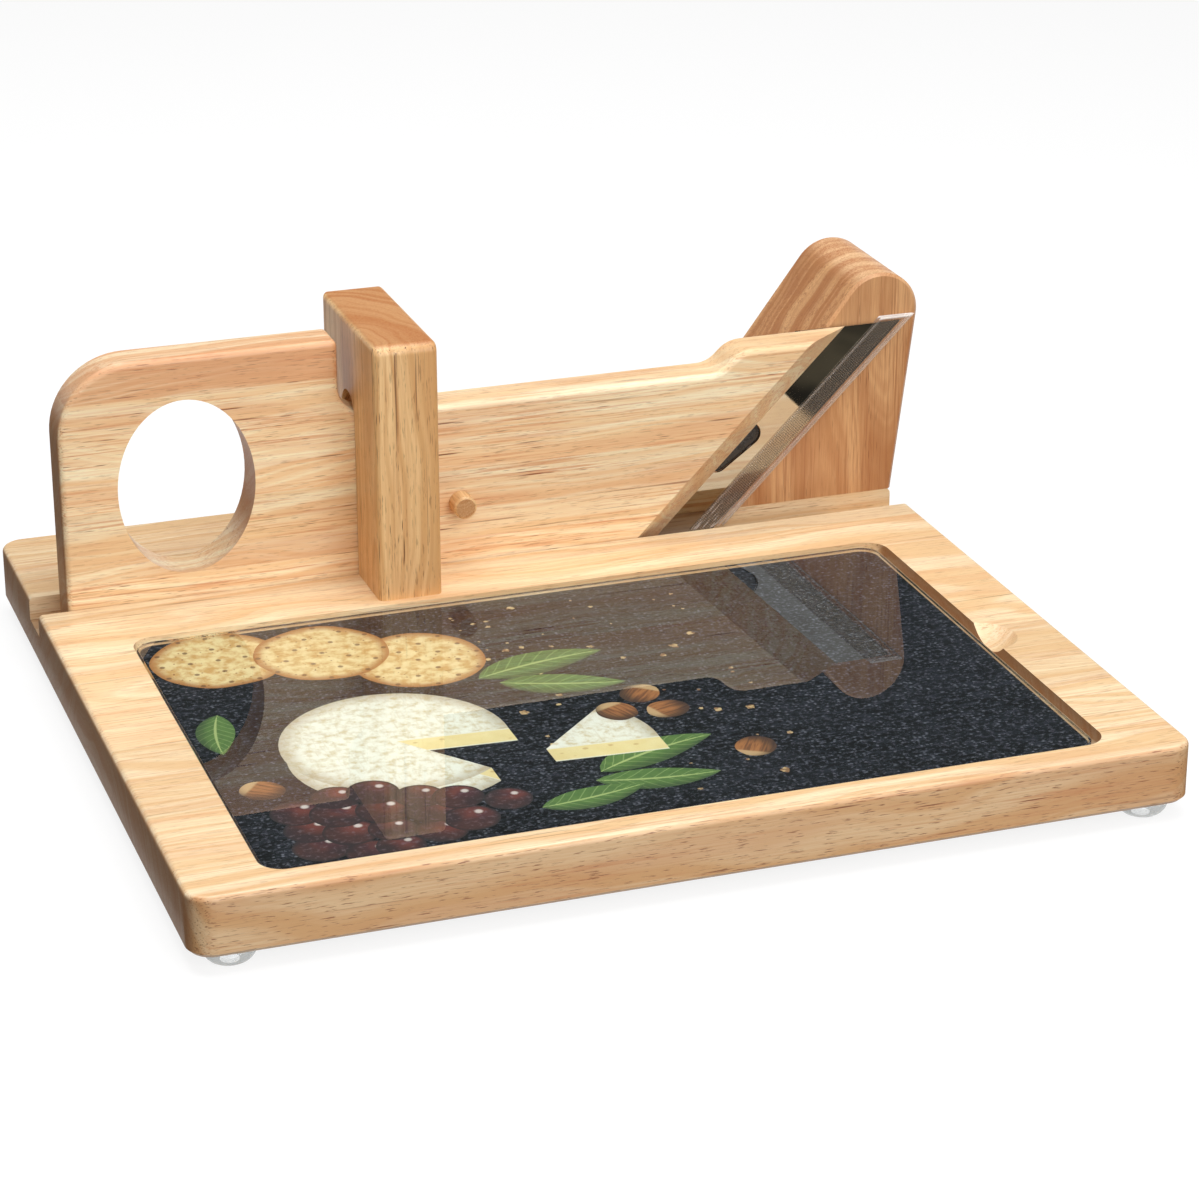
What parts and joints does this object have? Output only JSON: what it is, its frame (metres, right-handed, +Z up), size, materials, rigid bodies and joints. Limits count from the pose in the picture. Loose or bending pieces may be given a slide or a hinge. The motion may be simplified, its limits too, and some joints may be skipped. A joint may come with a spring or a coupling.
{
  "type": "food slicer",
  "caption": "Wooden food slicer: a sliding panel with a finger hole and a slanted guarded blade, an arched guide post, a backing block and a glass plate set in the board.",
  "frame": {"origin": "on the table plane, under the middle of the slicer's outer box", "axes": "+X to the right along the groove, from the grip to the blade; +Y to the back, away from the glass plate; +Z up"},
  "size_m": [0.3696, 0.333, 0.1304],
  "materials": {
    "board_wood": "satin oil, light rubberwood, grain left to right",
    "post_wood": "satin oil, darker straight grain, upright",
    "block_wood": "satin oil, orange-brown, grain upright",
    "panel_wood": "satin oil, light rubberwood, grain left to right",
    "peg_wood": "plain dowel",
    "blade_steel": "polished, fine grinding lines on the bevel",
    "clear_plastic": "clear, thin",
    "clear_glass": "polished, ground edges",
    "print_film": "printed film seen through the glass",
    "bumper_plastic": "clear soft plastic",
    "screw_steel": "zinc plated"
  },
  "bodies": {
    "board": {"base_board": "board_wood", "guide_post": "post_wood", "backing_block": "block_wood", "foot_front_left": "bumper_plastic", "foot_front_right": "bumper_plastic", "foot_rear_left": "bumper_plastic", "foot_rear_right": "bumper_plastic", "post_screws": "screw_steel", "block_screws": "screw_steel"},
    "slider": {"slider_panel": "panel_wood", "blade": "blade_steel", "blade_screws": "screw_steel"},
    "peg": {"lock_peg": "peg_wood"},
    "guard": {"blade_guard": "clear_plastic"},
    "plate": {"glass_plate": "clear_glass", "glass_print": "print_film"}
  },
  "joints": [
    {"name": "slider_slide", "type": "slide", "parent": "board", "child": "slider", "axis": [1, 0, 0], "range_m": [-0.0119, 0.0015]},
    {"name": "peg_pull", "type": "slide", "parent": "slider", "child": "peg", "axis": [0, -1, 0], "range_m": [0, 0.025]},
    {"name": "guard_slide", "type": "slide", "parent": "slider", "child": "guard", "axis": [0.7071, 0, 0.7071], "range_m": [0, 0.112]},
    {"name": "plate_lift", "type": "slide", "parent": "board", "child": "plate", "axis": [0, 0, 1], "range_m": [0, 0.025]}
  ]
}
